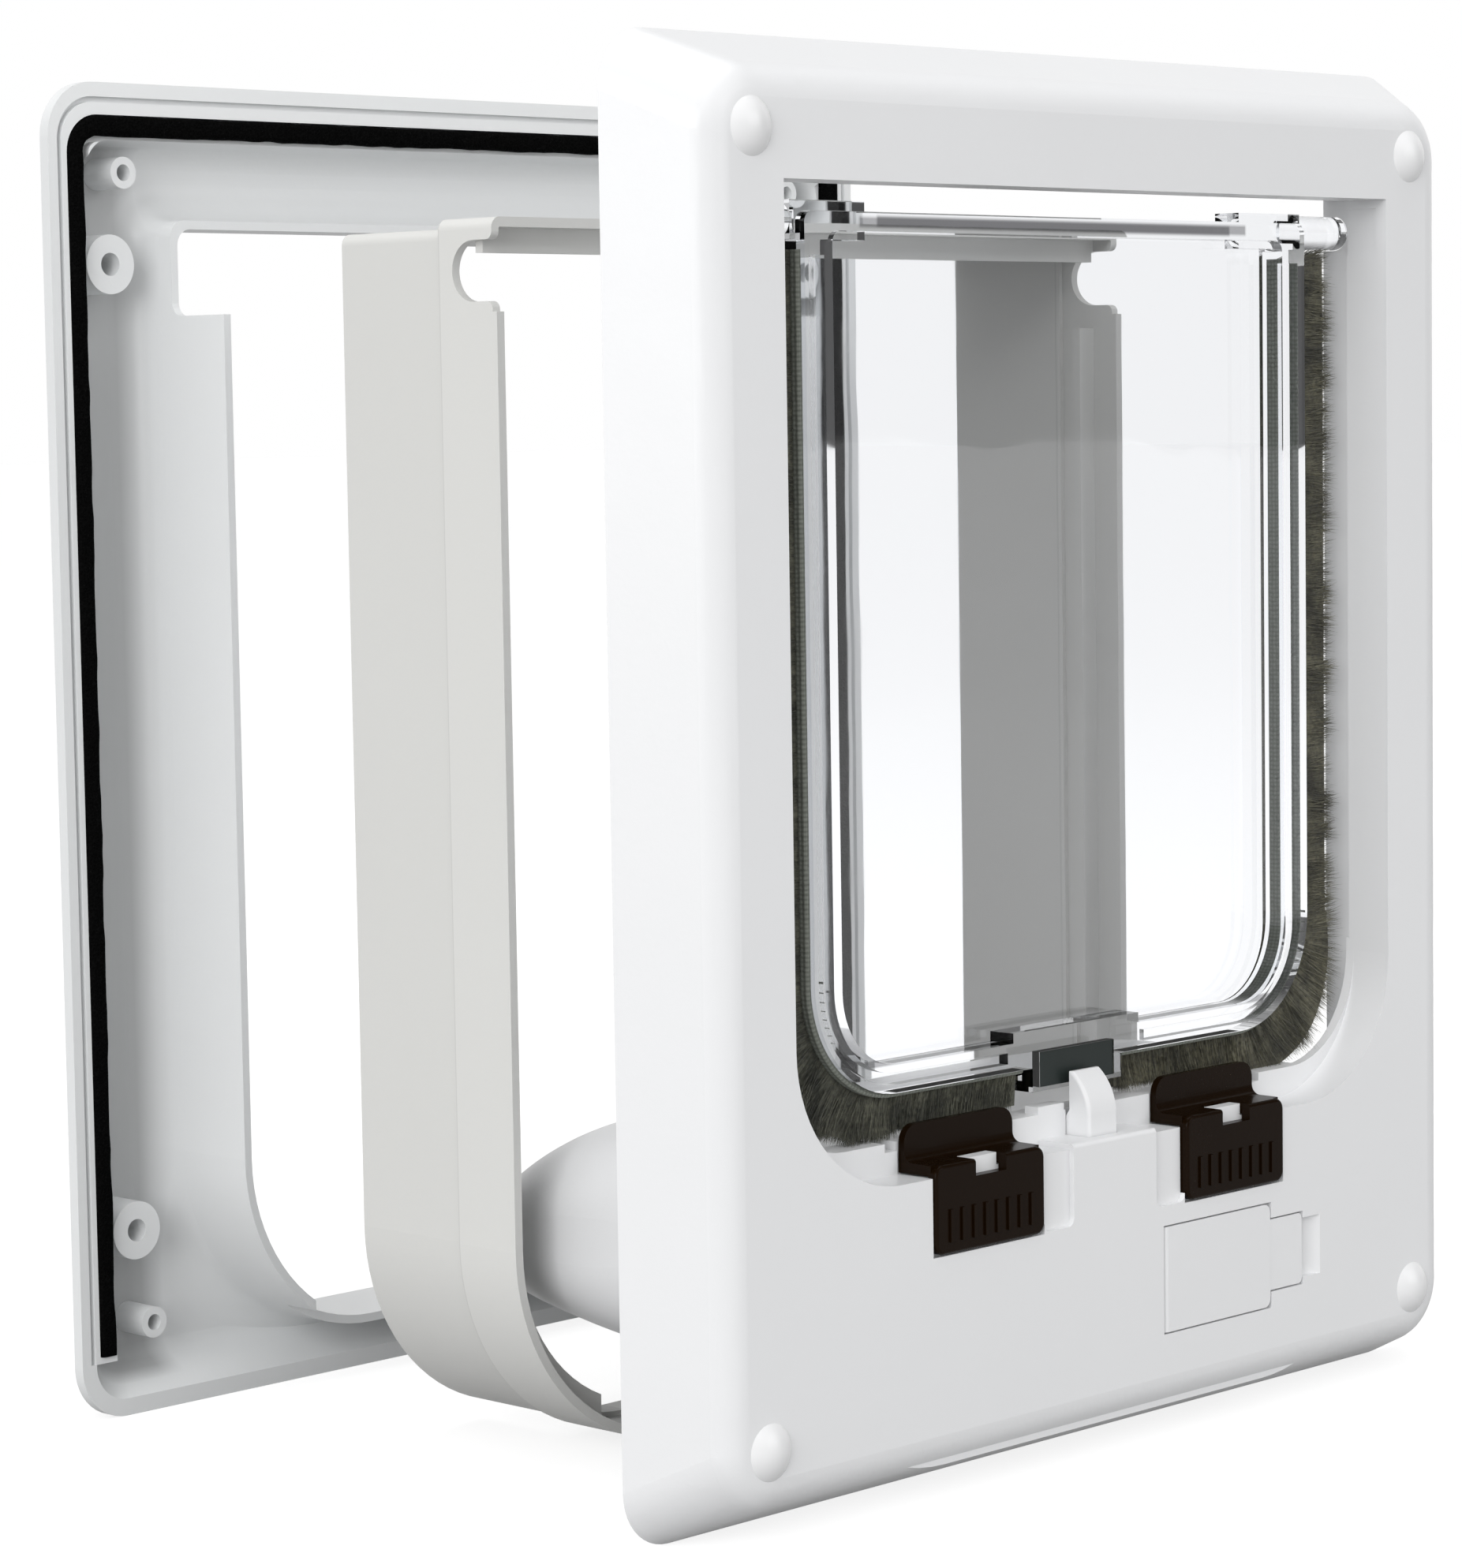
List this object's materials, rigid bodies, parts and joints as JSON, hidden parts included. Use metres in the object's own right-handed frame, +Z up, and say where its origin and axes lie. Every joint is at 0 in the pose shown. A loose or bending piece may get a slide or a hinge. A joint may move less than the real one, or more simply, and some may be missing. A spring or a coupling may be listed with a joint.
{
  "type": "cat flap",
  "caption": "Magnetically latched cat flap drawn apart: front frame with clear flap, brush seal, sliding locks and battery cover, tunnel liner, outer frame with foam seal.",
  "frame": {"origin": "centre of the whole set's footprint, on the surface it stands on", "axes": "+X to the right along the door as seen from the room, +Y from the room to the outside, +Z up"},
  "size_m": [0.211, 0.1712, 0.244],
  "materials": {
    "frame_white": "satin white moulding",
    "cap_white": "satin white moulding",
    "latch_white": "satin white moulding",
    "outer_white": "satin grey-white moulding",
    "liner_grey": "satin warm grey moulding",
    "flap_clear": "clear, polished, faint grey tint",
    "magnet_dark": "dark ferrite bar",
    "brush_woven": "dark woven backing",
    "brush_pile": "dark wool pile",
    "slider_brown": "dark brown moulding",
    "steel": "plain steel",
    "copper": "enamelled copper winding",
    "board_green": "green board",
    "reed_glass": "clear glass",
    "battery_case": "plain dark case",
    "contact_black": "black plate",
    "foam_black": "closed-cell foam strip"
  },
  "bodies": {
    "frame": {"front_frame": "frame_white", "screw_cap_1": "cap_white", "screw_cap_2": "cap_white", "screw_cap_3": "cap_white", "screw_cap_4": "cap_white", "rear_housing": "frame_white", "housing_screw_1": "steel", "housing_screw_2": "steel", "housing_screw_3": "steel", "housing_screw_4": "steel", "circuit_board": "board_green", "reed_switch": "reed_glass", "battery": "battery_case", "battery_contacts": "contact_black", "solenoid_coil": "copper", "latch_spring": "steel", "tunnel_liner": "liner_grey", "outer_frame": "outer_white", "foam_seal": "foam_black"},
    "flap": {"flap_panel": "flap_clear", "flap_magnet": "magnet_dark", "brush_backing_left": "brush_woven", "brush_backing_right": "brush_woven", "brush_pile_left": "brush_pile", "brush_pile_right": "brush_pile"},
    "lock_left": {"lock_slider_left": "slider_brown"},
    "lock_right": {"lock_slider_right": "slider_brown"},
    "latch": {"latch_pawl": "latch_white", "solenoid_plunger": "steel"},
    "cover": {"battery_cover": "frame_white"}
  },
  "joints": [
    {"name": "flap_swing", "type": "hinge", "parent": "frame", "child": "flap", "pos_m": [0, -0.0699, 0.2142], "axis": [1, 0, 0], "range_deg": [0, 75]},
    {"name": "lock_left", "type": "slide", "parent": "frame", "child": "lock_left", "axis": [0, 0, 1], "range_m": [0, 0.01]},
    {"name": "lock_right", "type": "slide", "parent": "frame", "child": "lock_right", "axis": [0, 0, 1], "range_m": [0, 0.01]},
    {"name": "latch", "type": "slide", "parent": "frame", "child": "latch", "axis": [0, 0, -1], "range_m": [0, 0.007], "stiffness_N_per_m": 60, "springref_m": -0.003, "deforming": ["latch_spring"]},
    {"name": "cover_hinge", "type": "hinge", "parent": "frame", "child": "cover", "pos_m": [0.0144, -0.0827, 0.02865], "axis": [0, 0, -1], "range_deg": [0, 75]}
  ]
}
